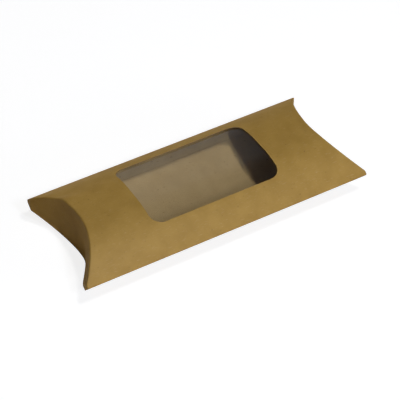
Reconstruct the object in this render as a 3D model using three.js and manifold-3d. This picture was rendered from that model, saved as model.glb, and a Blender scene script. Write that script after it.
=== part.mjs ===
// A kraft pillow box for a wrap: two arched board panels joined along straight side folds, a clear
// film window in the top panel, and two flaps that close each concave end.
// Millimetres, +Z up, X along the box, the front fold at -Y, the origin under the belly's middle.
import * as THREE from "three";
import { mergeVertices } from "three/addons/utils/BufferGeometryUtils.js";
import Module from "manifold-3d";

// Driving dimensions of the box.
const LENGTH = 201.5; // ear tip to ear tip
const WIDTH = 88; // front fold to back fold
const RISE = 17; // each panel's height over the plane of the side folds
const CROWN_FLAT = 10; // the flat strip along the middle of each panel, which the box rests on
const END_DEPTH = 17; // how far the end creases curve inwards
const EAR_FLAT = 2; // the blunt tip of each corner, measured along Y
const BOARD = 0.5; // board thickness

// The window, its film and the glue that holds it.
const WINDOW_LENGTH = 92;
const WINDOW_WIDTH = 55;
const WINDOW_CORNER = 7.5;
const FILM = 0.15;
const FILM_LAP = 8; // the film reaches this far past the window's edge
const FILM_GLUE_SETBACK = 1.5; // bare lap on each side of the glue frame
const GLUE = 0.1;

// The glued side seam, inside the back of the bottom panel.
const SEAM_WIDTH = 9; // in plan, from the back fold to the flap's free edge
const SEAM_LENGTH = 184; // along the fold
const SEAM_SLANT = 10; // how much shorter the free edge is at each end
const SEAM_GLUE_SETBACK = 1.5; // bare board round the glue strip

// Clearances.
const LAYER_GAP = 0.15; // between layers of board, film and glue
const FOLD_GAP = 0.3; // under the plane of the side folds

// Facets in a half of each curve, and how far a cutter passes what it cuts.
const ARC_STEPS = 8;
const OVERRUN = 5;
const ARC_OVERRUN = 0.03; // radians of panel arc past the fold, cut off at the fold plane
const MERGE = 1e-4;

// The section of a panel: a flat crown and two arcs that fall to the side folds.
const archRun = WIDTH / 2 - CROWN_FLAT / 2;
const archRadius = (archRun ** 2 + RISE ** 2) / (2 * RISE);
const archCentre = RISE - archRadius;
const foldAngle = Math.asin((archRadius - RISE) / archRadius);

// The plan of an end: one arc between the blunt ear tips, concave from outside.
const endChord = WIDTH - 2 * EAR_FLAT;
const endRadius = ((endChord / 2) ** 2 + END_DEPTH ** 2) / (2 * END_DEPTH);
const endCentre = LENGTH / 2 - END_DEPTH + endRadius;

// Layers at an end, measured inwards from its outer face.
const innerFlapDepth = BOARD + LAYER_GAP;
const bottomEndDepth = innerFlapDepth + BOARD + LAYER_GAP;

// Layers on a panel, measured inwards from its outer face.
const glueDepth = BOARD + LAYER_GAP;
const underGlueDepth = glueDepth + GLUE + LAYER_GAP;

const wasm = await Module();
wasm.setup();

// A closed geometry as a solid that can be joined and cut.
function solidOf(geometry) {
  const bare = geometry.clone();
  bare.deleteAttribute("normal");
  bare.deleteAttribute("uv");
  const merged = mergeVertices(bare, MERGE);
  const vertProperties = merged.attributes.position.array;
  const triVerts = new Uint32Array(merged.index.array);
  return new wasm.Manifold(new wasm.Mesh({ numProp: 3, vertProperties, triVerts }));
}

// A solid's surface as a geometry with flat facets.
function geometryOf(solid) {
  const { vertProperties, triVerts } = solid.getMesh();
  const indexed = new THREE.BufferGeometry();
  indexed.setAttribute("position", new THREE.BufferAttribute(vertProperties, 3));
  indexed.setIndex(new THREE.BufferAttribute(triVerts, 1));
  const geometry = indexed.toNonIndexed();
  geometry.computeVertexNormals();
  return geometry;
}

// A shape drawn in Y and Z, extruded along the whole box.
function alongX(shape) {
  const depth = LENGTH + 2 * OVERRUN;
  const geometry = new THREE.ExtrudeGeometry(shape, { depth, bevelEnabled: false, curveSegments: ARC_STEPS });
  geometry.translate(0, 0, -depth / 2);
  const turned = new THREE.Matrix4().makeBasis(
    new THREE.Vector3(0, 1, 0),
    new THREE.Vector3(0, 0, 1),
    new THREE.Vector3(1, 0, 0),
  );
  return geometry.applyMatrix4(turned);
}

// A shape drawn in X and Y, extruded between two heights over the fold plane.
function alongZ(shape, low, high) {
  const depth = high - low;
  const geometry = new THREE.ExtrudeGeometry(shape, { depth, bevelEnabled: false, curveSegments: ARC_STEPS });
  return solidOf(geometry.translate(0, 0, low));
}

// One layer of the upper arch, between two depths under the panel's outer face.
function upperLayer(from, to) {
  const low = foldAngle - ARC_OVERRUN;
  const top = Math.PI / 2;
  const shape = new THREE.Shape();
  shape.absarc(CROWN_FLAT / 2, archCentre, archRadius - from, low, top, false);
  shape.absarc(-CROWN_FLAT / 2, archCentre, archRadius - from, top, Math.PI - low, false);
  shape.absarc(-CROWN_FLAT / 2, archCentre, archRadius - to, Math.PI - low, top, true);
  shape.absarc(CROWN_FLAT / 2, archCentre, archRadius - to, top, low, true);
  return alongX(shape);
}

// The same layer of the lower arch: the upper one turned over about X.
function lowerLayer(from, to) {
  return upperLayer(from, to).rotateX(Math.PI);
}

// The lens-shaped section of the closed box, as a bar along X.
function lens() {
  const top = Math.PI / 2;
  const shape = new THREE.Shape();
  shape.absarc(CROWN_FLAT / 2, archCentre, archRadius, foldAngle, top, false);
  shape.absarc(-CROWN_FLAT / 2, archCentre, archRadius, top, Math.PI - foldAngle, false);
  shape.absarc(-CROWN_FLAT / 2, -archCentre, archRadius, Math.PI + foldAngle, Math.PI + top, false);
  shape.absarc(CROWN_FLAT / 2, -archCentre, archRadius, Math.PI + top, 2 * Math.PI - foldAngle, false);
  return solidOf(alongX(shape));
}

// Half the angle of an end arc that lies `depth` inside the end's outer face.
function endAngle(depth) {
  return Math.acos((endRadius - END_DEPTH) / (endRadius + depth));
}

// The plan of a panel whose curved edges lie `depth` inside the ends' outer faces.
function panelPlan(depth) {
  const angle = endAngle(depth);
  const side = WIDTH / 2 + OVERRUN;
  const shape = new THREE.Shape();
  shape.moveTo(-LENGTH / 2, -side);
  shape.lineTo(LENGTH / 2, -side);
  shape.absarc(endCentre, 0, endRadius + depth, Math.PI + angle, Math.PI - angle, true);
  shape.lineTo(LENGTH / 2, side);
  shape.lineTo(-LENGTH / 2, side);
  shape.absarc(-endCentre, 0, endRadius + depth, angle, -angle, true);
  return shape;
}

// The plan of a right-hand end flap, between two depths inside the end's outer face.
function flapPlan(from, to) {
  const angle = endAngle(from);
  const shape = new THREE.Shape();
  shape.absarc(endCentre, 0, endRadius + from, Math.PI + angle, Math.PI - angle, true);
  shape.absarc(endCentre, 0, endRadius + to, Math.PI - angle, Math.PI + angle, false);
  return shape;
}

// A rounded rectangle that lies `outset` outside the window's edge.
function windowPlan(outset) {
  const x = WINDOW_LENGTH / 2 - WINDOW_CORNER;
  const y = WINDOW_WIDTH / 2 - WINDOW_CORNER;
  const r = WINDOW_CORNER + outset;
  const quarter = Math.PI / 2;
  const shape = new THREE.Shape();
  shape.absarc(x, y, r, 0, quarter, false);
  shape.absarc(-x, y, r, quarter, 2 * quarter, false);
  shape.absarc(-x, -y, r, 2 * quarter, 3 * quarter, false);
  shape.absarc(x, -y, r, 3 * quarter, 4 * quarter, false);
  return shape;
}

// The seam flap's trapezium at the back fold, drawn in by `setback` on every side.
function seamPlan(setback) {
  const fold = WIDTH / 2 - setback;
  const free = WIDTH / 2 - SEAM_WIDTH + setback;
  const half = SEAM_LENGTH / 2 - setback;
  const shape = new THREE.Shape();
  shape.moveTo(-half, fold);
  shape.lineTo(-half + SEAM_SLANT, free);
  shape.lineTo(half - SEAM_SLANT, free);
  shape.lineTo(half, fold);
  return shape;
}

// What lies over or under the fold plane, within a plan.
function above(plan) {
  return alongZ(plan, 0, RISE + OVERRUN);
}

function below(plan, gap) {
  return alongZ(plan, -RISE - OVERRUN, -gap);
}

function topPanel() {
  const arch = solidOf(upperLayer(0, BOARD));
  const ends = above(panelPlan(innerFlapDepth));
  return arch.intersect(ends).subtract(above(windowPlan(0)));
}

function bottomPanel() {
  const arch = solidOf(lowerLayer(0, BOARD));
  return arch.intersect(below(panelPlan(bottomEndDepth), 0));
}

function filmGlue() {
  const layer = solidOf(upperLayer(glueDepth, glueDepth + GLUE));
  const outer = above(windowPlan(FILM_LAP - FILM_GLUE_SETBACK));
  return layer.intersect(outer).subtract(above(windowPlan(FILM_GLUE_SETBACK)));
}

function windowFilm() {
  const layer = solidOf(upperLayer(underGlueDepth, underGlueDepth + FILM));
  return layer.intersect(above(windowPlan(FILM_LAP)));
}

function seamGlue() {
  const layer = solidOf(lowerLayer(glueDepth, glueDepth + GLUE));
  return layer.intersect(below(seamPlan(SEAM_GLUE_SETBACK), FOLD_GAP));
}

function seamFlap() {
  const layer = solidOf(lowerLayer(underGlueDepth, underGlueDepth + BOARD));
  return layer.intersect(below(seamPlan(0), FOLD_GAP));
}

// The outer flap covers the whole end; the inner one stands behind its lower half.
function outerFlap() {
  const wall = alongZ(flapPlan(0, BOARD), -RISE - OVERRUN, RISE + OVERRUN);
  return wall.intersect(lens());
}

function innerFlap() {
  const wall = below(flapPlan(innerFlapDepth, innerFlapDepth + BOARD), FOLD_GAP);
  return wall.intersect(lens());
}

const KRAFT = "#a98c58";
const KRAFT_INSIDE = "#a3875a";

function board(color) {
  return new THREE.MeshStandardMaterial({ color, roughness: 0.85, metalness: 0 });
}

function clearFilm() {
  const look = { color: "#f4f4f0", roughness: 0.12, metalness: 0, transparent: true, opacity: 0.25 };
  return new THREE.MeshStandardMaterial(look);
}

function driedGlue() {
  return new THREE.MeshStandardMaterial({ color: "#e6e0cf", roughness: 0.4, metalness: 0 });
}

function piece(name, solid, material) {
  const mesh = new THREE.Mesh(geometryOf(solid), material);
  mesh.name = name;
  return mesh;
}

// The pieces are drawn about the plane of the side folds, which stands over the belly by its rise.
const foldPlane = new THREE.Group();
foldPlane.position.z = RISE;
foldPlane.add(
  piece("top_panel", topPanel(), board(KRAFT)),
  piece("bottom_panel", bottomPanel(), board(KRAFT)),
  piece("seam_flap", seamFlap(), board(KRAFT_INSIDE)),
  piece("seam_glue", seamGlue(), driedGlue()),
  piece("window_film", windowFilm(), clearFilm()),
  piece("film_glue", filmGlue(), driedGlue()),
);

// The flaps are drawn for the right end; half a turn about Z gives the left one.
for (const [side, turn] of [["right", 0], ["left", Math.PI]]) {
  const end = new THREE.Group();
  end.rotation.z = turn;
  end.add(
    piece(side + "_outer_flap", outerFlap(), board(KRAFT)),
    piece(side + "_inner_flap", innerFlap(), board(KRAFT_INSIDE)),
  );
  foldPlane.add(end);
}

const box = new THREE.Group();
box.add(foldPlane);

export default box;
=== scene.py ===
"""Looks of a kraft pillow box with a film window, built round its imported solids.

Each board piece is drawn flat, as it lies on the blank, and a node tree bends it over the box's arch.
The end flaps follow a second tree, which stands them along the bowed ends.
Metres, +Z up, X along the box, the front fold at -Y, the belly on Z = 0.
"""

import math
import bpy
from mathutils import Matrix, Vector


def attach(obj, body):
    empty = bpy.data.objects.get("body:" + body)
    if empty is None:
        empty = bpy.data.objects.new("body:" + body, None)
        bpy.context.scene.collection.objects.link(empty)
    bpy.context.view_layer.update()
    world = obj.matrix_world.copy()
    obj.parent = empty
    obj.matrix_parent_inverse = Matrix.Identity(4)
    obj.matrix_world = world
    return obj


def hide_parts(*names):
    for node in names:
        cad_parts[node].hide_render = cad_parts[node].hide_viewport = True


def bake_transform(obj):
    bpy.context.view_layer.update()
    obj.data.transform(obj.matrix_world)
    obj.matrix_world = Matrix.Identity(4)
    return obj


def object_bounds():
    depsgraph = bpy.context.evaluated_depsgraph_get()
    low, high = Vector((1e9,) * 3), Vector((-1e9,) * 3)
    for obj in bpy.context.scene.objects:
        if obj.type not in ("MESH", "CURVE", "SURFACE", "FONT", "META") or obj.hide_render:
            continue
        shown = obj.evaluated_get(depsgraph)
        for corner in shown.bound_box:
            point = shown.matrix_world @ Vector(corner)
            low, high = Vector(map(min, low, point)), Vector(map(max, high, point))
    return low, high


bl_info = {
    "name": "Kraft pillow box",
    "version": (1, 0, 0),
    "blender": (4, 5, 0),
    "location": "3D View > Sidebar > Pillow box",
    "description": "Builds a kraft pillow box with a film window, and a plain studio round it",
    "category": "Add Mesh",
}

import bpy
import numpy as np
from bpy.props import FloatProperty, FloatVectorProperty, PointerProperty
from bpy.types import Operator, Panel, PropertyGroup
from mathutils import Matrix, Vector

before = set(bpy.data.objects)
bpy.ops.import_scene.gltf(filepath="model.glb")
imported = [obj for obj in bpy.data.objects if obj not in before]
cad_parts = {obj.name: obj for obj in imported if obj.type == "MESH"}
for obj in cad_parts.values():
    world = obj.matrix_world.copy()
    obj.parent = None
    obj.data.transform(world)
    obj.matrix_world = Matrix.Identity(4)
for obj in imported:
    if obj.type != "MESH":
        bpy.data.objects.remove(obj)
solid_low, solid_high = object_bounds()
solid_size = solid_high - solid_low

FRAME_PIXELS = 400
SENSOR = 36.0
# The three finishes of a board, and the numbers that mark them on its faces.
FINISHES = ("Outer finish", "Inner finish", "Cut finish")
OUTER, INNER, CUT = range(3)
# Which way a panel bows from the plane of the side folds.
UPPER, LOWER = 1.0, -1.0
# The sides of the top panel and its window, in the order in which they are drawn.
FRONT, RIGHT, BACK, LEFT = range(4)
# Faces that meet more steeply than this keep a sharp edge between them.
SHARP_ANGLE = math.radians(38.0)
# Share of even steps across an end. The other steps grow short towards the ears, to draw their rounding.
EVEN_STEPS = 0.2
# How far a fold's rounding sets it back from where the unrounded arch would end, in fold radii.
FOLD_SET_BACK = 0.46
# An end crease is at most this share of the panel's height, so that it tightens to nothing at the ears.
EAR_CREASE = 0.6
# Steps along the window's edge: in half a corner, along a long side and along a short one.
CORNER_STEPS, LONG_STEPS, SHORT_STEPS = 7, 72, 44
# Rings of points from the window's edge to the panel's own, closest at the window and round the folds.
PANEL_RINGS = np.concatenate([
    [0.0, 0.012, 0.03], np.linspace(0.06, 0.93, 20),
    [0.952, 0.964, 0.971, 0.977, 0.983, 0.989, 0.9945, 1.0],
])


def length_property(name, description, default):
    """A length, in metres."""
    return FloatProperty(
        name=name, description=description, default=default, min=0.0, precision=5,
        subtype="DISTANCE", unit="LENGTH"
    )


def angle_property(name, description, degrees):
    """A direction in the studio."""
    return FloatProperty(name=name, description=description, default=math.radians(degrees), subtype="ANGLE")


def power_property(name, description, watts):
    """The power of a lamp."""
    return FloatProperty(name=name, description=description, default=watts, subtype="POWER", unit="POWER")


def colour_property(name, description, default):
    """A colour of the box, as linear red, green and blue."""
    return FloatVectorProperty(
        name=name, description=description, default=default, min=0.0, max=1.0, size=3, subtype="COLOR"
    )


class PillowBoxSizes(PropertyGroup):
    """The lengths that set the box's shape."""

    length: length_property("Length", "From ear tip to ear tip", solid_size.x)
    width: length_property("Width", "From the front fold to the back fold", solid_size.y)
    height: length_property("Height", "From the belly to the crown", solid_size.z)
    crown_flat: length_property("Crown flat", "Flat strip along the middle of each panel", 0.010)
    end_depth: length_property("End depth", "How far the end creases bow inwards", 0.017)
    ear_flat: length_property("Ear flat", "Blunt tip of each ear, across the box", 0.002)
    ear_round: length_property("Ear rounding", "Radius at the tip of each ear", 0.0009)
    board: length_property("Board", "Thickness of the kraft board", 0.0005)
    fold_radius: length_property("Fold radius", "Outer radius of the side folds", 0.0008)
    crease_radius: length_property("Crease radius", "Outer radius of the end creases", 0.0011)
    flap_gap: length_property("Flap gap", "From a cover flap's end to the side fold", 0.00005)
    layer_gap: length_property("Layer gap", "Air between two layers of board", 0.00015)
    window_length: length_property("Window length", "Along the box", 0.092)
    window_width: length_property("Window width", "Across the box, in plan", 0.055)
    window_corner: length_property("Window corner", "Radius of the window's corners", 0.0075)
    film: length_property("Film", "Thickness of the window film", 0.00015)
    film_lap: length_property("Film lap", "How far the film reaches under the board", 0.008)
    film_depth: length_property("Film depth", "From the board's outer face to the film", 0.0009)
    film_hold: length_property("Film hold", "From the window's edge to where the film hangs free", 0.007)
    film_ripple: length_property("Film ripple", "Height of the slack ripples in the film", 0.00016)
    board_ripple: length_property("Board ripple", "Height of the soft unevenness in the board", 0.00010)
    seam_width: length_property("Seam width", "Glue flap, from the back fold to its free edge", 0.0105)
    seam_length: length_property("Seam length", "Glue flap, along the back fold", 0.184)
    seam_slant: length_property("Seam slant", "How much shorter the free edge is at each end", 0.010)
    seam_tuck: length_property("Seam tuck", "Where the bottom panel's raw edge covers the glue flap", 0.0022)
    kink: length_property("Kink", "Height of the soft corner in the top panel's left crease", 0.0013)
    kink_place: length_property("Kink place", "From the middle of the left crease to its kink", 0.0165)
    kink_reach: length_property("Kink reach", "From the kink to where the crease is even again", 0.0078)
    kink_run: length_property("Kink run", "From the left crease to where the panel is even again", 0.015)
    worn_ear: length_property("Worn ear", "How much shorter the left back ear is than the others", 0.0027)
    cover_lean: FloatProperty(
        name="Cover lean", description="Slope of the left cover flap where it springs open, at its front ear",
        default=0.28
    )
    lean_start: length_property("Lean start", "From the flap's middle to where it starts to lean", 0.004)
    lean_run: length_property("Lean run", "From there to where the flap leans most", 0.030)


class PillowBoxColours(PropertyGroup):
    """The colours of the box's finishes."""

    kraft: colour_property("Kraft", "Outer face of the board", (0.400, 0.241, 0.054))
    kraft_shade: colour_property("Kraft shade", "Darker clouds in the outer face", (0.350, 0.206, 0.043))
    kraft_fleck: colour_property("Kraft fleck", "Dark specks of bark", (0.170, 0.095, 0.030))
    kraft_fibre: colour_property("Kraft fibre", "Pale loose fibres", (0.520, 0.370, 0.165))
    # The inner face is paler than the outer face: partly the board's own inner side, partly painted light
    # that makes the interior seen through the window as bright as the lit field.
    inside: colour_property("Inside", "Inner face of the board", (0.460, 0.332, 0.155))
    inside_shade: colour_property("Inside shade", "Darker clouds in the inner face", (0.420, 0.300, 0.136))
    # Painted shade: the cut edge is far darker than a raw kraft core, standing in for the shadow in the gap
    # under the window's edge and along the outlines.
    core: colour_property("Core", "Cut edge of the board", (0.200, 0.120, 0.045))
    film: colour_property("Film", "Haze of the window film", (0.80, 0.80, 0.78))
    glue: colour_property("Glue", "Dried glue", (0.74, 0.69, 0.56))
    floor: colour_property("Floor", "Studio floor", (0.70, 0.61, 0.47))


class PillowBoxStudio(PropertyGroup):
    """The camera and the light."""

    azimuth: angle_property("Azimuth", "Camera, from the front", -30.83)
    elevation: angle_property("Elevation", "Camera, over the horizon", 43.28)
    roll: angle_property("Roll", "Camera, about its own line of sight", 0.43)
    distance: length_property("Distance", "Camera to the point it looks at", 1.0828)
    look_at: FloatVectorProperty(
        name="Look at", description="Point in the middle of the picture", default=(0.00261, 0.0, 0.00519),
        size=3, subtype="TRANSLATION", unit="LENGTH"
    )
    focal_pixels: FloatProperty(name="Focal length", description="In pixels of the picture", default=1691.6)
    key_tilt: angle_property("Key tilt", "Main lamp, from straight overhead to the front", 20.6)
    key_power: power_property("Key power", "Main lamp", 4.9)
    front_tilt: angle_property("Front tilt", "Second lamp, from straight overhead to the front", 46.0)
    front_power: power_property("Front power", "Second lamp, lower at the front", 3.3)
    fill_power: power_property("Fill power", "Soft lamp at the front right", 23.6)
    back_power: power_property("Back power", "Glow of the backdrop", 8.4)
    side_power: power_property("Side power", "Weak glow at the left", 0.6)
    sheen_power: power_property("Sheen power", "Wide panel that is only seen as a sheen", 24.0)
    sky: FloatProperty(name="Sky", description="Soft light from all round", default=0.05)
    glare: FloatProperty(name="Glare", description="Brightness of the room in a reflection", default=0.27)


class BoxCurves:
    """The curves that follow from the box's sizes: the arch of a panel and the bow of an end."""

    def __init__(self, sizes):
        self.rise = sizes.height / 2
        self.half_flat = sizes.crown_flat / 2
        set_back = FOLD_SET_BACK * sizes.fold_radius
        run = sizes.width / 2 + set_back - self.half_flat
        self.arch_radius = (run**2 + self.rise**2) / (2 * self.rise)
        self.fold_radius = sizes.fold_radius
        self.fold_angle = math.acos((self.arch_radius - self.rise) / (self.arch_radius - self.fold_radius))
        self.fold_start = self.half_flat + self.arch_radius * self.fold_angle
        self.fold_line = self.fold_start + self.fold_radius * (math.pi / 2 - self.fold_angle)
        self.half_length = sizes.length / 2
        self.half_width = float(self.across(self.fold_line))
        half_chord = sizes.width / 2 - sizes.ear_flat
        self.end_radius = (half_chord**2 + sizes.end_depth**2) / (2 * sizes.end_depth)
        self.end_centre = self.half_length - sizes.end_depth + self.end_radius
        self.ear_round = sizes.ear_round
        self.crease_radius = sizes.crease_radius

    def across(self, reach):
        """Y of a point that lies `reach` from the crown along the board's outer face."""
        reach = np.asarray(reach, float)
        run = np.abs(reach)
        turn = np.clip((run - self.half_flat) / self.arch_radius, 0.0, self.fold_angle)
        bend = self.fold_angle + np.clip((run - self.fold_start) / self.fold_radius, 0.0, math.pi)
        out = np.minimum(run, self.half_flat) + self.arch_radius * np.sin(turn)
        out = out + self.fold_radius * (np.sin(bend) - math.sin(self.fold_angle))
        return np.sign(reach) * out

    def along(self, y):
        """The reverse: how far from the crown a point of the arch lies, short of the fold."""
        y = np.asarray(y, float)
        run = np.maximum(np.abs(y) - self.half_flat, 0.0)
        arc = self.arch_radius * np.arcsin(run / self.arch_radius)
        return np.sign(y) * (np.minimum(np.abs(y), self.half_flat) + arc)

    def height(self, y):
        """Height of the arch's outer face over the fold plane."""
        run = np.maximum(np.abs(y) - self.half_flat, 0.0)
        return self.rise - self.arch_radius + np.sqrt(np.maximum(self.arch_radius**2 - run**2, 0.0))

    def end_reach(self, y, depth, worn=0.0):
        """Half the box's length at Y, `depth` inside the cover flap's face, less at a worn back ear."""
        worn = np.where(np.asarray(y) > 0.0, worn, 0.0)
        y = np.abs(np.asarray(y, float))
        bow = self.end_centre - np.sqrt((self.end_radius + depth) ** 2 - y**2)
        past = np.clip((y - self.half_width + self.ear_round) / self.ear_round, 0.0, 1.0)
        tip = self.half_length - depth - worn - self.ear_round * (1.0 - np.sqrt(1.0 - past**2))
        return np.minimum(bow, tip)

    def crease(self, y):
        """Radius of the end crease, which tightens to nothing at the ears."""
        return np.minimum(self.crease_radius, EAR_CREASE * np.maximum(self.height(y), 0.0))


class Field:
    """A number field in a node tree, so that a rule of shape reads as a formula."""

    def __init__(self, tree, socket):
        self.tree = tree
        self.socket = socket

    def math(self, operation, *others):
        """The field after one operation with other fields or plain numbers."""
        node = new_node(self.tree, "ShaderNodeMath", operation=operation)
        for slot, value in enumerate((self, *others)):
            feed(self.tree, node.inputs[slot], value)
        return Field(self.tree, node.outputs[0])

    def __add__(self, other):
        return self.math("ADD", other)

    def __sub__(self, other):
        return self.math("SUBTRACT", other)

    def __mul__(self, other):
        return self.math("MULTIPLY", other)

    def __truediv__(self, other):
        return self.math("DIVIDE", other)

    def size(self):
        return self.math("ABSOLUTE")

    def sign(self):
        return self.math("SIGN")

    def sine(self):
        return self.math("SINE")

    def cosine(self):
        return self.math("COSINE")

    def root(self):
        """Square root, or 0 where the field is below 0."""
        return self.maximum(0.0).math("SQRT")

    def soft(self):
        """A soft step from 0 to 1."""
        share = self.maximum(0.0).minimum(1.0)
        return share * share * (share * -2.0 + 3.0)

    def minimum(self, other):
        return self.math("MINIMUM", other)

    def maximum(self, other):
        return self.math("MAXIMUM", other)


def feed(tree, socket, value):
    """Gives an input its value: a plain one, another socket's or a field's."""
    if isinstance(value, Field):
        value = value.socket
    if isinstance(value, bpy.types.NodeSocket):
        tree.links.new(value, socket)
    else:
        socket.default_value = (*value, 1.0) if socket.type == "RGBA" else value


def new_node(tree, kind, **values):
    """A node whose settings and inputs are given by name."""
    node = tree.nodes.new(kind)
    for title, value in values.items():
        if hasattr(node, title):
            setattr(node, title, value)
        else:
            feed(tree, node.inputs[title.replace("_", " ")], value)
    return node


def new_tree(name, lengths, numbers=(), takes_mesh=True):
    """An empty geometry tree with named inputs, and its inputs as fields."""
    tree = bpy.data.node_groups.new(name, "GeometryNodeTree")
    tree.interface.new_socket("Geometry", in_out="OUTPUT", socket_type="NodeSocketGeometry")
    if takes_mesh:
        tree.interface.new_socket("Geometry", in_out="INPUT", socket_type="NodeSocketGeometry")
    for title in lengths:
        socket = tree.interface.new_socket(title, in_out="INPUT", socket_type="NodeSocketFloat")
        socket.subtype = "DISTANCE"
    for title in numbers:
        tree.interface.new_socket(title, in_out="INPUT", socket_type="NodeSocketFloat")
    for title in FINISHES:
        tree.interface.new_socket(title, in_out="INPUT", socket_type="NodeSocketMaterial")
    start = tree.nodes.new("NodeGroupInput")
    end = tree.nodes.new("NodeGroupOutput")
    fields = {title: Field(tree, start.outputs[title]) for title in (*lengths, *numbers)}
    return tree, start, end, fields


def named_tree(name, make):
    """The tree of that name, made the first time it is asked for."""
    return bpy.data.node_groups.get(name) or make()


def place(tree, geometry, x, y, z):
    """Moves every point of a geometry to the place that three fields give."""
    point = new_node(tree, "ShaderNodeCombineXYZ", X=x, Y=y, Z=z).outputs[0]
    return new_node(tree, "GeometryNodeSetPosition", Geometry=geometry, Position=point).outputs["Geometry"]


def flat_point(tree):
    """The three numbers of a point's place before it is moved."""
    position = tree.nodes.new("GeometryNodeInputPosition").outputs[0]
    return [Field(tree, part) for part in new_node(tree, "ShaderNodeSeparateXYZ", Vector=position).outputs]


def thickness_tree():
    """Gives a face that looks outwards its thickness, with its own finish inside and on the cut edges."""
    tree, start, end, fields = new_tree("Board thickness", ("Board",))

    def mark(geometry, finish, selection=True):
        node = new_node(
            tree, "GeometryNodeStoreNamedAttribute", data_type="INT", domain="FACE",
            Geometry=geometry, Selection=selection, Name="finish", Value=finish
        )
        return node.outputs["Geometry"]

    face = start.outputs["Geometry"]
    pushed = new_node(
        tree, "GeometryNodeExtrudeMesh", Mesh=face, Offset_Scale=fields["Board"] * -1.0, Individual=False
    )
    inner = mark(mark(pushed.outputs["Mesh"], INNER), CUT, pushed.outputs["Side"])
    turned = new_node(tree, "GeometryNodeFlipFaces", Mesh=inner)
    joined = tree.nodes.new("GeometryNodeJoinGeometry")
    feed(tree, joined.inputs[0], turned.outputs["Mesh"])
    feed(tree, joined.inputs[0], mark(face, OUTER))
    merged = new_node(tree, "GeometryNodeMergeByDistance", Geometry=joined.outputs[0], Distance=1e-6)
    geometry = new_node(tree, "GeometryNodeRealizeInstances", Geometry=merged.outputs[0]).outputs[0]
    marked = new_node(tree, "GeometryNodeInputNamedAttribute", data_type="INT", Name="finish")
    for value, title in enumerate(FINISHES):
        same = new_node(tree, "FunctionNodeCompare", data_type="INT", operation="EQUAL")
        feed(tree, same.inputs[2], marked.outputs["Attribute"])
        feed(tree, same.inputs[3], value)
        painted = new_node(
            tree, "GeometryNodeSetMaterial", Geometry=geometry, Selection=same.outputs[0],
            Material=start.outputs[title]
        )
        geometry = painted.outputs["Geometry"]
    feed(tree, end.inputs["Geometry"], geometry)
    return tree


def thicken(tree, start, end, geometry):
    """Sends a face through the thickness tree and on to the output."""
    group = new_node(tree, "GeometryNodeGroup", node_tree=named_tree("Board thickness", thickness_tree))
    feed(tree, group.inputs["Geometry"], geometry)
    for title in ("Board", *FINISHES):
        feed(tree, group.inputs[title], start.outputs[title])
    feed(tree, end.inputs["Geometry"], group.outputs["Geometry"])


def arch_tree():
    """Bends a flat sheet over the box's arch: X stays, Y is the way along the board, Z lifts off its face."""
    lengths = ("Rise", "Half flat", "Arch radius", "Fold radius", "Fold start", "Depth", "Board")
    tree, start, end, size = new_tree("Arch a flat sheet", lengths, ("Fold angle", "Side"))
    x, reach, lift = flat_point(tree)
    run = reach.size()
    turn = ((run - size["Half flat"]) / size["Arch radius"]).maximum(0.0).minimum(size["Fold angle"])
    bend = ((run - size["Fold start"]) / size["Fold radius"]).maximum(0.0) + size["Fold angle"]
    lean = turn + bend - size["Fold angle"]
    out = run.minimum(size["Half flat"]) + turn.sine() * size["Arch radius"]
    out = out + (bend.sine() - size["Fold angle"].sine()) * size["Fold radius"]
    up = size["Rise"] - size["Arch radius"] + turn.cosine() * size["Arch radius"]
    up = up - (size["Fold angle"].cosine() - bend.cosine()) * size["Fold radius"]
    off = lift - size["Depth"]
    y = (out + lean.sine() * off) * reach.sign()
    z = (up + lean.cosine() * off) * size["Side"] + size["Rise"]
    thicken(tree, start, end, place(tree, start.outputs["Geometry"], x, y, z))
    return tree


def flap_tree():
    """Stands an end flap along the bowed end: round its crease first, then straight to its free edge."""
    lengths = (
        "Rise", "Half flat", "Arch radius", "Half length", "Half width", "End radius", "End centre",
        "Crease radius", "Depth", "Free gap", "Side gap", "Board", "Kink", "Kink place", "Kink reach",
        "Lean start", "Lean run", "Ear round", "Worn ear",
    )
    numbers = ("Reach", "Side", "Hung", "Lean")
    tree, start, end, size = new_tree("Stand an end flap", lengths, numbers, takes_mesh=False)
    grid = new_node(
        tree, "GeometryNodeMeshGrid", Size_X=2.0, Size_Y=2.0, Vertices_X=121, Vertices_Y=41
    )
    across, down, _ = flat_point(tree)
    earward = across * EVEN_STEPS + (across * (math.pi / 2)).sine() * (1.0 - EVEN_STEPS)
    y = earward * (size["Half width"] - size["Side gap"])
    arc = (y.size() - size["Half flat"]).maximum(0.0)
    radius = size["Arch radius"]
    even = (radius * radius - arc * arc).root() - radius + size["Rise"]
    kink = ((y - size["Kink place"]).size() / size["Kink reach"] * -1.0 + 1.0).soft()
    height = even + kink * size["Kink"]
    deep = size["End radius"] + size["Depth"]
    past = ((y.size() - size["Half width"]) / size["Ear round"] + 1.0).maximum(0.0)
    rounded = ((past * past * -1.0 + 1.0).root() * -1.0 + 1.0) * size["Ear round"]
    tip = size["Half length"] - size["Depth"] - rounded - y.sign().maximum(0.0) * size["Worn ear"]
    bow = (size["End centre"] - (deep * deep - y * y).root()).minimum(tip)
    crease = size["Crease radius"].minimum(height * EAR_CREASE)
    turn = (down + 1.0).minimum(1.0) * (math.pi / 2)
    wall = (height + even * size["Reach"] - size["Free gap"] - crease).maximum(0.0)
    fall = crease - turn.cosine() * crease + down.maximum(0.0) * wall
    lean = ((y * -1.0 - size["Lean start"]) / size["Lean run"]).soft() * size["Lean"]
    x = (bow - crease + turn.sine() * crease + lean * fall) * size["Side"]
    z = (height - fall) * size["Hung"] + size["Rise"]
    stood = place(tree, grid.outputs["Mesh"], x, y, z)
    turned = (size["Side"] * size["Hung"]).maximum(0.0)
    outwards = new_node(tree, "GeometryNodeFlipFaces", Mesh=stood, Selection=turned)
    thicken(tree, start, end, outwards.outputs["Mesh"])
    return tree


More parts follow.
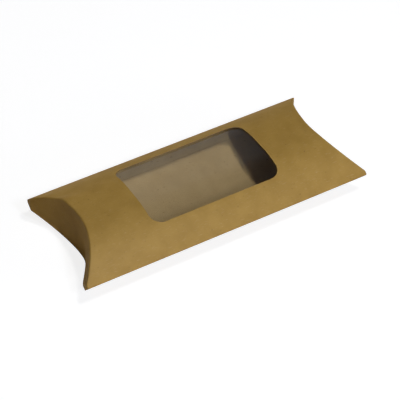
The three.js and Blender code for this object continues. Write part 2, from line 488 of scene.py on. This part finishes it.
def flat_sheet(name, points, closed=False, faces_up=True):
    """A mesh of quads through rows of flat points, each row closed into a ring if asked."""
    rows, columns = points.shape[:2]
    last = columns if closed else columns - 1
    faces = []
    for row in range(rows - 1):
        for column in range(last):
            beside = (column + 1) % columns
            low, high = row * columns, (row + 1) * columns
            faces.append((low + column, low + beside, high + beside, high + column))
    corner = points.reshape(-1, 3)[list(faces[0])]
    looks_up = np.cross(corner[1] - corner[0], corner[3] - corner[0])[2] > 0
    if looks_up != faces_up:
        faces = [face[::-1] for face in faces]
    mesh = bpy.data.meshes.new(name)
    mesh.from_pydata(points.reshape(-1, 3).tolist(), [], faces)
    return mesh


def shape_piece(name, mesh, tree, inputs):
    """Runs a mesh through a tree and keeps the result as a plain mesh at the origin."""
    piece = bpy.data.objects.new(name, mesh)
    bpy.context.scene.collection.objects.link(piece)
    modifier = piece.modifiers.new("Shape", "NODES")
    modifier.node_group = tree
    named = {s.name: s.identifier for s in tree.interface.items_tree if s.in_out == "INPUT"}
    for title, value in inputs.items():
        modifier[named[title]] = value
    bpy.context.view_layer.update()
    evaluated = piece.evaluated_get(bpy.context.evaluated_depsgraph_get())
    shaped = bpy.data.meshes.new_from_object(evaluated)
    if not shaped.polygons:
        raise RuntimeError(name + " came out of its tree with no faces")
    piece.modifiers.remove(modifier)
    piece.data = shaped
    shaped.name = name
    bpy.data.meshes.remove(mesh)
    shaped.shade_smooth()
    shaped.set_sharp_from_angle(angle=SHARP_ANGLE)
    return piece


def arched_piece(name, draw, side, finishes, depth=0.0, thickness=None, closed=False):
    """A flat sheet that is bent over the upper or the lower arch, `depth` under its outer face."""
    sizes = bpy.context.scene.pillow_box_sizes
    curves = BoxCurves(sizes)
    inputs = {
        "Rise": curves.rise,
        "Half flat": curves.half_flat,
        "Arch radius": curves.arch_radius,
        "Fold radius": curves.fold_radius,
        "Fold start": curves.fold_start,
        "Fold angle": curves.fold_angle,
        "Depth": depth,
        "Board": thickness or sizes.board,
        "Side": side,
        **dict(zip(FINISHES, finishes)),
    }
    mesh = flat_sheet(name, draw(sizes, curves), closed, faces_up=side == UPPER)
    return shape_piece(name, mesh, named_tree("Arch a flat sheet", arch_tree), inputs)


def smooth(share):
    """A soft step from 0 to 1."""
    share = np.clip(share, 0.0, 1.0)
    return share * share * (3.0 - 2.0 * share)


def ripple(x, y, phase):
    """Soft unevenness between -1 and 1, the same on every run."""
    slow = np.sin(61.0 * x + 37.0 * y + phase) * np.cos(-43.0 * x + 88.0 * y + 2.1 * phase)
    quick = np.sin(113.0 * x - 97.0 * y + 1.7 * phase) * np.cos(71.0 * x + 151.0 * y + 0.6 * phase)
    return 0.65 * slow + 0.35 * quick


def mix(tree, factor, first, second, data_type="RGBA"):
    """A colour, or a number if asked, between two."""
    node = new_node(tree, "ShaderNodeMix", data_type=data_type)
    slots, result = ((0, 6, 7), 2) if data_type == "RGBA" else ((0, 2, 3), 0)
    for slot, value in zip(slots, (factor, first, second)):
        feed(tree, node.inputs[slot], value)
    return node.outputs[result]


def mix_shaders(tree, factor, first, second):
    """A shader between two."""
    node = new_node(tree, "ShaderNodeMixShader", Fac=factor)
    for slot, shader in enumerate((first, second), start=1):
        feed(tree, node.inputs[slot], shader.outputs[0])
    return node


def noise(tree, place, scale, detail, stretch=(1.0, 1.0, 1.0)):
    """Noise on a place in the box, drawn out along an axis if asked."""
    drawn = new_node(tree, "ShaderNodeMapping", Scale=stretch, Vector=place).outputs[0]
    node = new_node(tree, "ShaderNodeTexNoise", Scale=scale, Detail=detail, Roughness=0.55, Vector=drawn)
    return node.outputs["Fac"]


def band(tree, value, low, high, out_low=0.0, out_high=1.0):
    """A value stretched from one range to another, and held there."""
    node = new_node(
        tree, "ShaderNodeMapRange", Value=value, From_Min=low, From_Max=high, To_Min=out_low, To_Max=out_high
    )
    return node.outputs["Result"]


def relief(tree, height, strength, depth):
    """A surface normal that lets a pattern stand out as fine relief."""
    bump = new_node(tree, "ShaderNodeBump", Strength=strength, Distance=depth, Height=height)
    return bump.outputs["Normal"]


def box_place(tree):
    """A point's place in the box, which the patterns follow."""
    return tree.nodes.new("ShaderNodeTexCoord").outputs["Object"]


def new_material(name):
    """A node material, and its empty tree."""
    material = bpy.data.materials.new(name)
    material.use_nodes = True
    material.node_tree.nodes.clear()
    return material, material.node_tree


def with_surface(material, shader):
    """Ends a material's tree with a shader, and gives the material back."""
    new_node(material.node_tree, "ShaderNodeOutputMaterial", Surface=shader.outputs[0])
    return material


def kraft_material(name, face, shade, fleck, fibre, roughness, shift):
    """Uncoated kraft board: cloudy brown, drawn-out fibres, bark specks and a finely felted face."""
    material, tree = new_material(name)
    place = new_node(tree, "ShaderNodeMapping", Vector=box_place(tree), Location=shift).outputs[0]
    clouds = noise(tree, place, scale=95.0, detail=3.0)
    colour = mix(tree, band(tree, clouds, low=0.36, high=0.68), face, shade)
    threads = noise(tree, place, scale=1500.0, detail=2.0, stretch=(0.22, 1.0, 1.0))
    colour = mix(tree, band(tree, threads, low=0.60, high=0.78, out_high=0.45), colour, fibre)
    specks = noise(tree, place, scale=820.0, detail=1.0, stretch=(0.6, 1.0, 1.0))
    colour = mix(tree, band(tree, specks, low=0.70, high=0.77, out_high=0.45), colour, fleck)
    felt = noise(tree, place, scale=2600.0, detail=3.0, stretch=(0.5, 1.0, 1.0))
    spread = 0.06
    rough = band(tree, felt, low=0.3, high=0.7, out_low=roughness - spread, out_high=roughness + spread)
    return with_surface(material, new_node(
        tree, "ShaderNodeBsdfPrincipled", Base_Color=colour, Roughness=rough, Specular_IOR_Level=0.22,
        Normal=relief(tree, felt, strength=0.35, depth=0.00006)
    ))


def core_and_edge_shade_material(name, colour, fleck, fibre):
    """The cut edge of the board: short torn fibres in layers, coloured much darker than a raw kraft core as
    painted shade along the window's edge and the outlines.
    """
    material, tree = new_material(name)
    place = box_place(tree)
    layers = noise(tree, place, scale=3800.0, detail=2.0, stretch=(0.2, 0.2, 1.0))
    mixed = mix(tree, band(tree, layers, low=0.35, high=0.7, out_high=0.3), colour, fibre)
    torn = noise(tree, place, scale=1700.0, detail=2.0)
    mixed = mix(tree, band(tree, torn, low=0.6, high=0.75, out_high=0.6), mixed, fleck)
    return with_surface(material, new_node(
        tree, "ShaderNodeBsdfPrincipled", Base_Color=mixed, Roughness=0.9,
        Normal=relief(tree, torn, strength=0.5, depth=0.0001)
    ))


def film_material(name, colour):
    """Thin clear film: it lets light straight through, mirrors at its faces and carries a faint haze."""
    material, tree = new_material(name)
    clear = tree.nodes.new("ShaderNodeBsdfTransparent")
    gloss = new_node(tree, "ShaderNodeBsdfGlossy", Color=(1.0, 1.0, 1.0), Roughness=0.09)
    slope = Field(tree, new_node(tree, "ShaderNodeLayerWeight", Blend=0.5).outputs["Facing"])
    head_on, steepness = 0.035, 5.0
    mirrored = band(tree, slope.math("POWER", steepness), low=0.0, high=1.0, out_low=head_on)
    haze = new_node(tree, "ShaderNodeBsdfDiffuse", Color=colour)
    streaks = noise(tree, box_place(tree), scale=70.0, detail=2.0, stretch=(0.5, 1.0, 1.0))
    hazy = band(tree, streaks, low=0.3, high=0.7, out_low=0.001, out_high=0.004)
    return with_surface(material, mix_shaders(tree, hazy, mix_shaders(tree, mirrored, clear, gloss), haze))


def glue_material(name, colour):
    """Dried glue: milky, with beads and thin spots."""
    material, tree = new_material(name)
    beads = noise(tree, box_place(tree), scale=420.0, detail=2.0)
    thinning = 0.72
    thin = tuple(thinning * part for part in colour)
    return with_surface(material, new_node(
        tree, "ShaderNodeBsdfPrincipled",
        Base_Color=mix(tree, band(tree, beads, low=0.35, high=0.7), colour, thin),
        Roughness=band(tree, beads, low=0.3, high=0.7, out_low=0.32, out_high=0.5),
        Normal=relief(tree, beads, strength=0.4, depth=0.0002)
    ))


def floor_material(name, colour):
    """Pale paper floor that keeps the shadow and shows white to the camera where it is lit."""
    dimmed, glow = (0.32, 0.32, 0.32), 0.82
    material, tree = new_material(name)
    seen = tree.nodes.new("ShaderNodeLightPath").outputs["Is Camera Ray"]
    return with_surface(material, new_node(
        tree, "ShaderNodeBsdfPrincipled", Base_Color=mix(tree, seen, colour, dimmed), Roughness=0.95,
        Specular_IOR_Level=0.0, Emission_Color=(1.0, 1.0, 1.0), Emission_Strength=Field(tree, seen) * glow
    ))


def finish(name):
    """One of the box's finishes, made the first time it is asked for."""
    made = bpy.data.materials.get(name)
    if made:
        return made
    colours = bpy.context.scene.pillow_box_colours
    fleck, fibre = colours.kraft_fleck, colours.kraft_fibre
    if name == "Kraft face":
        face, shade = colours.kraft, colours.kraft_shade
        return kraft_material(name, face, shade, fleck, fibre, roughness=0.56, shift=(0.0, 0.0, 0.0))
    # Paler than the outer face, partly as painted light on the interior.
    if name == "Kraft inside":
        face, shade = colours.inside, colours.inside_shade
        return kraft_material(name, face, shade, fleck, fibre, roughness=0.72, shift=(0.41, 0.1517, 0.0))
    # The cut edges get a colour darkened as painted shade.
    if name == "Kraft cut edge with painted shade":
        return core_and_edge_shade_material(name, colours.core, fleck, fibre)
    if name == "Clear film":
        return film_material(name, colours.film)
    if name == "Dried glue":
        return glue_material(name, colours.glue)
    raise RuntimeError("there is no finish named " + name)


def board_finishes():
    """The outer, inner and cut finish of a board piece."""
    return finish("Kraft face"), finish("Kraft inside"), finish("Kraft cut edge with painted shade")


def coat_node(node, name):
    """Gives a solid that stays as it is a finish of its own."""
    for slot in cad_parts[node].material_slots:
        slot.material = finish(name)


def window_sides(sizes):
    """The window's edge in plan, counter-clockwise: its front, right, back and left side.

    Each side is a row of points from the middle of one corner to the middle of the next.
    """
    corner_x = sizes.window_length / 2 - sizes.window_corner
    corner_y = sizes.window_width / 2 - sizes.window_corner
    corners = np.array([(-1.0, -1.0), (1.0, -1.0), (1.0, 1.0), (-1.0, 1.0)]) * (corner_x, corner_y)
    half_corner = np.linspace(0.0, math.pi / 4, CORNER_STEPS, endpoint=False)

    def off_corner(angles):
        return sizes.window_corner * np.column_stack([np.cos(angles), np.sin(angles)])

    sides = []
    for side, steps in enumerate((LONG_STEPS, SHORT_STEPS, LONG_STEPS, SHORT_STEPS)):
        first, second = corners[side], corners[(side + 1) % 4]
        outwards = (side + 3) * math.pi / 2
        share = np.linspace(0.0, 1.0, steps, endpoint=False)[:, None]
        sides.append(np.vstack([
            first + off_corner(outwards - math.pi / 4 + half_corner),
            first + (second - first) * share + off_corner([outwards]),
            second + off_corner(outwards + half_corner),
        ]))
    return sides


def panel_edge(sizes, curves, side, way):
    """Points along one side of the top panel, where `way` runs from -1 to 1 with the window's edge."""
    if side in (RIGHT, LEFT):
        toward = 1.0 if side == RIGHT else -1.0
        earward = EVEN_STEPS * way + (1.0 - EVEN_STEPS) * np.sin(way * math.pi / 2)
        reach = earward * curves.fold_line * toward
        y = curves.across(reach)
        worn = sizes.worn_ear if side == LEFT else 0.0
        x = toward * (curves.end_reach(y, 0.0, worn) - curves.crease(y))
    else:
        toward = -1.0 if side == FRONT else 1.0
        reach = np.full(len(way), toward * curves.fold_line)
        x = -toward * way * (curves.half_length - curves.ear_round)
        if side == BACK:
            x = x + sizes.worn_ear * (1.0 + way) / 2.0
    return np.column_stack([x, reach])


def top_sheet(sizes, curves):
    """The top panel as it lies on the blank: rings of points from the window's edge out to its creases."""
    sides = window_sides(sizes)
    edge, hole = [], []
    for side, points in enumerate(sides):
        following = sides[(side + 1) % 4][:1]
        steps = np.linalg.norm(np.diff(np.vstack([points, following]), axis=0), axis=1)
        share = np.concatenate([[0.0], np.cumsum(steps)[:-1]]) / steps.sum()
        edge.append(panel_edge(sizes, curves, side, 2.0 * share - 1.0))
        hole.append(np.column_stack([points[:, 0], curves.along(points[:, 1])]))
    hole, edge = np.vstack(hole), np.vstack(edge)
    shares = PANEL_RINGS[:, None]
    rings = hole[None] + (edge - hole)[None] * shares[..., None]
    x, reach = rings[..., 0], rings[..., 1]
    even_rim = 0.25
    lift = sizes.board_ripple * ripple(x, reach, phase=0.4) * smooth((1.0 - shares) / even_rim)
    y = curves.across(reach)
    kink = smooth(1.0 - np.abs(y - sizes.kink_place) / sizes.kink_reach)
    near_end = smooth(1.0 - (x + curves.end_reach(y, 0.0)) / sizes.kink_run)
    return np.dstack([rings, lift + sizes.kink * kink * near_end])


def bottom_sheet(sizes, curves):
    """The bottom panel on the blank, from the front fold to its raw edge at the back seam."""
    columns, rows = 161, 90
    way = np.linspace(-1.0, 1.0, columns)
    near_fold = np.array([0.0, 0.0025, 0.005, 0.0075, 0.010, 0.014])
    share = np.concatenate([near_fold, np.linspace(0.02, 0.98, rows), 1.0 - near_fold[::-1]])[:, None]
    over_tab = smooth((sizes.seam_length / 2 - np.abs(way) * curves.half_length) / sizes.seam_slant)
    raw_edge = curves.fold_line - sizes.seam_tuck * over_tab
    reach = -curves.fold_line + share * (raw_edge + curves.fold_line)
    y = curves.across(reach)
    worn = np.where(way < 0.0, sizes.worn_ear, 0.0)
    x = way * (curves.end_reach(y, sizes.board + sizes.layer_gap, worn) - curves.crease(y))
    even_rim, even_end = 0.15, 0.12
    inside = smooth(share / even_rim) * smooth((1.0 - share) / even_rim)
    inside = inside * smooth((1.0 - np.abs(way)) / even_end)
    return np.dstack([x, reach, sizes.board_ripple * inside * (ripple(x, reach, phase=2.2) - 1.0) / 2.0])


def seam_sheet(sizes, curves):
    """The glue flap on the blank: it leaves the back fold and slips in behind the bottom panel."""
    columns, fold_rows, other_rows = 101, 14, 16
    share = np.concatenate([np.linspace(0.0, 0.3, fold_rows), np.linspace(0.34, 1.0, other_rows)])[:, None]
    down = share * sizes.seam_width
    half = sizes.seam_length / 2 - sizes.seam_slant * smooth(share)
    tuck = (sizes.board + 0.5 * sizes.layer_gap) * smooth(down / sizes.seam_tuck)
    x = np.linspace(-1.0, 1.0, columns) * half
    reach = np.broadcast_to(curves.fold_line - down, x.shape)
    return np.dstack([x, reach, np.broadcast_to(-tuck, x.shape)])


def film_sheet(sizes, curves):
    """The film, cut larger than the window and slack between its glued edges."""
    columns, rows = 119, 73
    half = sizes.window_length / 2
    side = float(curves.along(sizes.window_width / 2))
    x = np.linspace(-half - sizes.film_lap, half + sizes.film_lap, columns)
    reach = np.linspace(-side - sizes.film_lap, side + sizes.film_lap, rows)
    x, reach = np.meshgrid(x, reach)
    free = smooth((half - np.abs(x)) / sizes.film_hold) * smooth((side - np.abs(reach)) / sizes.film_hold)
    return np.dstack([x, reach, sizes.film_ripple * free * ripple(x, reach, phase=5.0)])


class PILLOWBOX_OT_top_board(Operator):
    """Builds the top panel with its die-cut window"""

    bl_idname = "pillow_box.top_board"
    bl_label = "Top panel"

    def execute(self, context):
        piece = arched_piece("top_board", top_sheet, UPPER, board_finishes(), closed=True)
        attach(piece, "tube")
        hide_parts("top_panel")
        return {"FINISHED"}


class PILLOWBOX_OT_bottom_board(Operator):
    """Builds the bottom panel, with a raw edge along the back seam"""

    bl_idname = "pillow_box.bottom_board"
    bl_label = "Bottom panel"

    def execute(self, context):
        piece = arched_piece("bottom_board", bottom_sheet, LOWER, board_finishes())
        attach(piece, "tube")
        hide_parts("bottom_panel")
        return {"FINISHED"}


class PILLOWBOX_OT_seam(Operator):
    """Builds the glue flap of the back seam, and finishes its glue"""

    bl_idname = "pillow_box.seam"
    bl_label = "Back seam"

    def execute(self, context):
        piece = arched_piece("seam_tab", seam_sheet, LOWER, board_finishes())
        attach(piece, "tube")
        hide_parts("seam_flap")
        coat_node("seam_glue", "Dried glue")
        return {"FINISHED"}


class PILLOWBOX_OT_window(Operator):
    """Builds the window film, and finishes the glue that holds it"""

    bl_idname = "pillow_box.window"
    bl_label = "Window film"

    def execute(self, context):
        sizes = context.scene.pillow_box_sizes
        clear = finish("Clear film")
        finishes = (clear, clear, clear)
        piece = arched_piece("clear_window", film_sheet, UPPER, finishes, sizes.film_depth, sizes.film)
        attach(piece, "tube")
        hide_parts("window_film")
        coat_node("film_glue", "Dried glue")
        return {"FINISHED"}


class PILLOWBOX_OT_end_flaps(Operator):
    """Builds the cover flap and the tuck flap of both ends"""

    bl_idname = "pillow_box.end_flaps"
    bl_label = "End flaps"

    def execute(self, context):
        sizes = context.scene.pillow_box_sizes
        for end, side in (("left", -1.0), ("right", 1.0)):
            self.stand(sizes, end, side, "outer")
            self.stand(sizes, end, side, "inner")
        return {"FINISHED"}

    def stand(self, sizes, end, side, layer):
        """One flap, stood along its bowed end.

        The outer layer is the cover flap, which hangs from the top panel and covers the whole end.
        The inner one is the tuck flap, which stands on the bottom panel and reaches up to the side folds.
        """
        curves = BoxCurves(sizes)
        cover = layer == "outer"
        sprung = cover and end == "left"
        hung = UPPER if cover else LOWER
        depth = 0.0 if cover else sizes.board + sizes.layer_gap
        inputs = {
            "Rise": curves.rise,
            "Half flat": curves.half_flat,
            "Arch radius": curves.arch_radius,
            "Half length": curves.half_length,
            "Half width": curves.half_width,
            "End radius": curves.end_radius,
            "End centre": curves.end_centre,
            "Crease radius": curves.crease_radius,
            "Depth": depth,
            "Free gap": 0.0 if cover else 2 * sizes.layer_gap,
            "Side gap": sizes.flap_gap + depth,
            "Board": sizes.board,
            "Kink": sizes.kink if sprung else 0.0,
            "Kink place": sizes.kink_place,
            "Kink reach": sizes.kink_reach,
            "Lean start": sizes.lean_start,
            "Lean run": sizes.lean_run,
            "Ear round": curves.ear_round,
            "Worn ear": sizes.worn_ear if end == "left" else 0.0,
            "Lean": sizes.cover_lean if sprung else 0.0,
            "Reach": 1.0 if cover else 0.0,
            "Side": side,
            "Hung": hung,
            **dict(zip(FINISHES, board_finishes())),
        }
        name = end + ("_cover_flap" if cover else "_tuck_flap")
        tree = named_tree("Stand an end flap", flap_tree)
        piece = shape_piece(name, bpy.data.meshes.new(name), tree, inputs)
        crease_x = side * (curves.end_centre - curves.end_radius - depth)
        crease = Vector((crease_x, 0.0, curves.rise * (1.0 + hung)))
        body = end + "_" + layer
        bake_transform(piece)
        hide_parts(body + "_flap")


class PILLOWBOX_OT_studio(Operator):
    """Sets up the camera, the floor and the light"""

    bl_idname = "pillow_box.studio"
    bl_label = "Studio"

    def execute(self, context):
        studio = context.scene.pillow_box_studio
        self.camera(context, studio)
        self.floor(context)
        self.lamps(context, studio)
        self.room(context, studio)
        context.scene.view_settings.view_transform = "Standard"
        return {"FINISHED"}

    def camera(self, context, studio):
        """The camera, with its place given by two angles and a distance."""
        level = math.cos(studio.elevation)
        back = Vector((
            math.sin(studio.azimuth) * level, -math.cos(studio.azimuth) * level, math.sin(studio.elevation)
        ))
        right = Vector((0.0, 0.0, 1.0)).cross(back).normalized()
        up = back.cross(right)
        right = right * math.cos(studio.roll) + up * math.sin(studio.roll)
        up = back.cross(right)
        data = bpy.data.cameras.new("Camera")
        data.sensor_width = SENSOR
        data.lens = SENSOR * studio.focal_pixels / FRAME_PIXELS
        data.clip_start = 0.05
        data.clip_end = 50.0
        camera = bpy.data.objects.new("Camera", data)
        turned = Matrix((right, up, back)).transposed().to_4x4()
        camera.matrix_world = Matrix.Translation(Vector(studio.look_at) + back * studio.distance) @ turned
        context.scene.collection.objects.link(camera)
        context.scene.camera = camera

    def floor(self, context):
        """A round floor."""
        rings, spokes, radius = 6, 64, 4.0
        points = [(0.0, 0.0, 0.0)]
        faces = []
        for ring in range(1, rings + 1):
            out = radius * ring / rings
            for spoke in range(spokes):
                angle = 2 * math.pi * spoke / spokes
                points.append((out * math.cos(angle), out * math.sin(angle), 0.0))
        for spoke in range(spokes):
            beside = (spoke + 1) % spokes
            faces.append((0, 1 + spoke, 1 + beside))
            for ring in range(rings - 1):
                low, high = 1 + ring * spokes, 1 + (ring + 1) * spokes
                faces.append((low + spoke, high + spoke, high + beside, low + beside))
        mesh = bpy.data.meshes.new("floor")
        mesh.from_pydata(points, [], faces)
        floor = bpy.data.objects.new("floor", mesh)
        mesh.materials.append(floor_material("Studio floor", context.scene.pillow_box_colours.floor))
        context.scene.collection.objects.link(floor)

    def lamps(self, context, studio):
        """Two narrow lamps overhead, soft ones round the box, and a wide one that is only seen as a sheen."""
        key = (0.09, -math.sin(studio.key_tilt), math.cos(studio.key_tilt))
        front = (0.02, -math.sin(studio.front_tilt), math.cos(studio.front_tilt))
        strip = (0.06, 0.15)
        white = (1.0, 1.0, 1.0)
        for name, power, aim, distance, size, tint in (
            ("Key", studio.key_power, key, 1.2, strip, white),
            ("Front key", studio.front_power, front, 1.2, strip, (0.95, 1.0, 1.12)),
            ("Fill", studio.fill_power, (0.615, -0.760, 0.208), 2.8, (1.0, 0.8), (0.92, 1.0, 1.20)),
            ("Backdrop glow", studio.back_power, (0.15, 0.985, 0.10), 1.4, (1.0, 0.3), white),
            ("Side glow", studio.side_power, (-0.80, 0.55, 0.25), 1.4, (0.8, 0.6), (1.0, 0.9, 0.75)),
            ("Sheen", studio.sheen_power, (-0.15, -0.55, 0.82), 1.4, (1.0, 1.0), white),
        ):
            data = bpy.data.lights.new(name, "AREA")
            data.shape = "RECTANGLE"
            data.size, data.size_y = size
            data.energy = power
            data.color = tint
            lamp = bpy.data.objects.new(name, data)
            aim = Vector(aim).normalized()
            lamp.location = aim * distance
            lamp.rotation_euler = aim.to_track_quat("Z", "Y").to_euler()
            lamp.visible_camera = False
            lamp.visible_glossy = name == "Sheen"
            lamp.visible_diffuse = lamp.visible_transmission = name != "Sheen"
            context.scene.collection.objects.link(lamp)

    def room(self, context, studio):
        """White to the camera, weak light from all round, and grey in a reflection, darker overhead."""
        world = bpy.data.worlds.new("Room")
        context.scene.world = world
        world.use_nodes = True
        tree = world.node_tree
        tree.nodes.clear()
        path = tree.nodes.new("ShaderNodeLightPath").outputs
        direction = tree.nodes.new("ShaderNodeTexCoord").outputs["Generated"]
        height = new_node(tree, "ShaderNodeSeparateXYZ", Vector=direction).outputs["Z"]
        mirrored = new_node(tree, "ShaderNodeValToRGB", Fac=height)
        bright_below, dark_above = 0.72, 0.88
        steps = ((bright_below, studio.glare), (dark_above, 0.1 * studio.glare))
        for step, (up, grey) in zip(mirrored.color_ramp.elements, steps):
            step.position = up
            step.color = (grey, grey, grey, 1.0)
        reflected = Field(tree, path["Is Glossy Ray"]).maximum(path["Is Transmission Ray"])
        bounced = mix(tree, reflected, studio.sky, mirrored.outputs[0], data_type="FLOAT")
        strength = mix(tree, path["Is Camera Ray"], bounced, 1.0, data_type="FLOAT")
        light = new_node(tree, "ShaderNodeBackground", Strength=strength)
        new_node(tree, "ShaderNodeOutputWorld", Surface=light.outputs[0])


class PILLOWBOX_PT_sidebar(Panel):
    """Lists the pieces of the box"""

    bl_idname = "PILLOWBOX_PT_sidebar"
    bl_label = "Pillow box"
    bl_space_type = "VIEW_3D"
    bl_region_type = "UI"
    bl_category = "Pillow box"

    def draw(self, context):
        column = self.layout.column(align=True)
        for operator in BUILD_ORDER:
            column.operator(operator.bl_idname)
        for title, group in (
            ("Sizes", context.scene.pillow_box_sizes),
            ("Colours", context.scene.pillow_box_colours),
            ("Studio", context.scene.pillow_box_studio),
        ):
            box = self.layout.box()
            box.label(text=title)
            for name in group.__annotations__:
                box.prop(group, name)


BUILD_ORDER = (
    PILLOWBOX_OT_studio,
    PILLOWBOX_OT_top_board,
    PILLOWBOX_OT_bottom_board,
    PILLOWBOX_OT_seam,
    PILLOWBOX_OT_window,
    PILLOWBOX_OT_end_flaps,
)
CLASSES = (PillowBoxSizes, PillowBoxColours, PillowBoxStudio, *BUILD_ORDER, PILLOWBOX_PT_sidebar)


def register():
    for cls in CLASSES:
        bpy.utils.register_class(cls)
    bpy.types.Scene.pillow_box_sizes = PointerProperty(type=PillowBoxSizes)
    bpy.types.Scene.pillow_box_colours = PointerProperty(type=PillowBoxColours)
    bpy.types.Scene.pillow_box_studio = PointerProperty(type=PillowBoxStudio)


def unregister():
    del bpy.types.Scene.pillow_box_studio
    del bpy.types.Scene.pillow_box_colours
    del bpy.types.Scene.pillow_box_sizes
    for cls in reversed(CLASSES):
        bpy.utils.unregister_class(cls)


def main():
    register()
    bpy.ops.pillow_box.studio()
    bpy.ops.pillow_box.top_board()
    bpy.ops.pillow_box.bottom_board()
    bpy.ops.pillow_box.seam()
    bpy.ops.pillow_box.window()
    bpy.ops.pillow_box.end_flaps()


if __name__ == "__main__":
    main()
